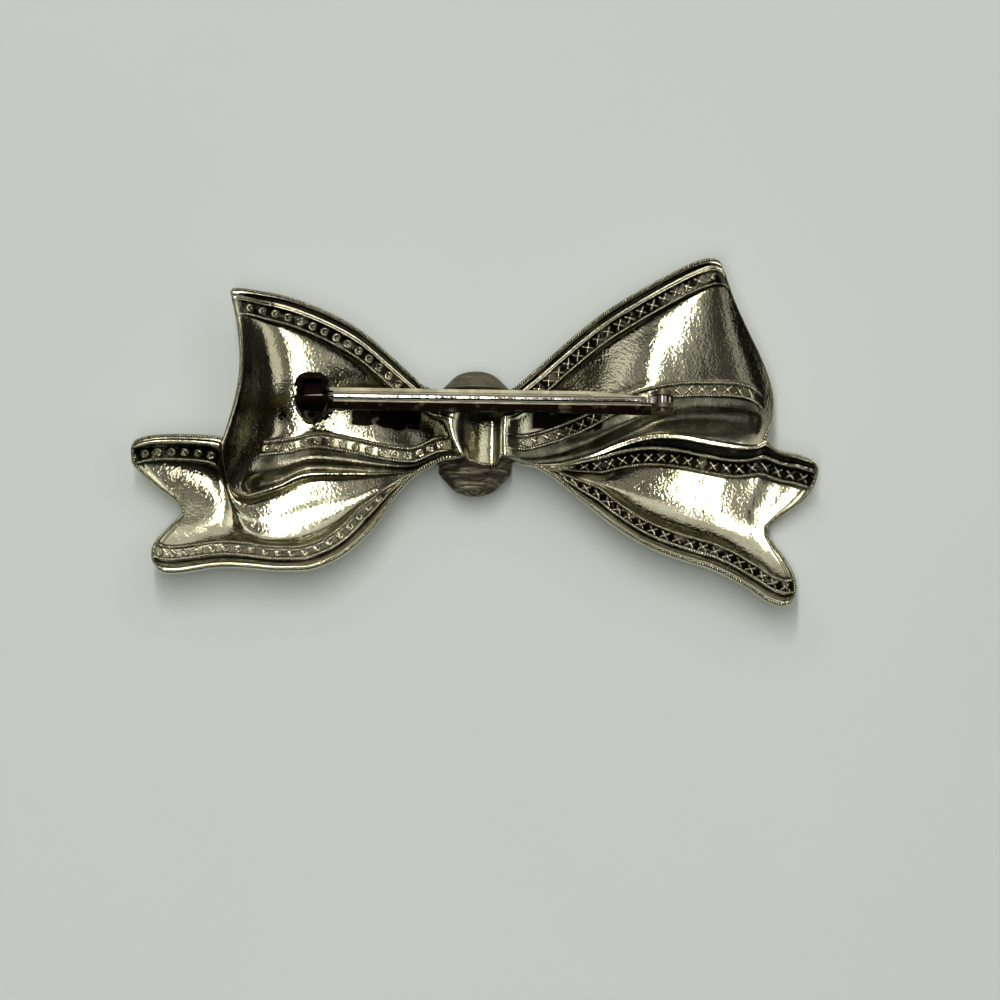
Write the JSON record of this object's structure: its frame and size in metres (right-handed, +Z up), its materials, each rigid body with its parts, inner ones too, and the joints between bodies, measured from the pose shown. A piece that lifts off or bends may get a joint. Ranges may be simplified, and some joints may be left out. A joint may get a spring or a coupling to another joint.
{
  "type": "bow brooch",
  "caption": "Stamped sheet-metal bow brooch lying face down, its hollow back carrying a ribbed knot, a flat bar, a hinged pin and a turning safety catch.",
  "frame": {"origin": "middle of the outline, on the surface that the brooch lies on", "axes": "+X along the pin from the catch to the hinge, +Y from the tails to the tops of the loops, +Z up out of the hollow back"},
  "size_m": [0.069, 0.0356, 0.0106],
  "materials": {
    "bow_metal": "polished silver tone, tarnished in the hollows",
    "knot_metal": "matt grey brown back of the stamping",
    "fitting_metal": "satin nickel tone",
    "pin_metal": "bright drawn wire"
  },
  "bodies": {
    "brooch": {"bow_shell": "bow_metal", "knot_cap": "knot_metal", "pin_bar": "fitting_metal", "hinge_rivet": "fitting_metal"},
    "pin": {"pin_stem": "pin_metal"},
    "catch": {"catch_rotor": "fitting_metal"}
  },
  "joints": [
    {"name": "pin_hinge", "type": "hinge", "parent": "brooch", "child": "pin", "pos_m": [0.01868, 0.00215, 0.00833], "axis": [0, 1, 0], "range_deg": [0, 100]},
    {"name": "catch_turn", "type": "hinge", "parent": "brooch", "child": "catch", "pos_m": [-0.01632, 0.00215, 0.00833], "axis": [-1, 0, 0], "range_deg": [0, 110]}
  ]
}
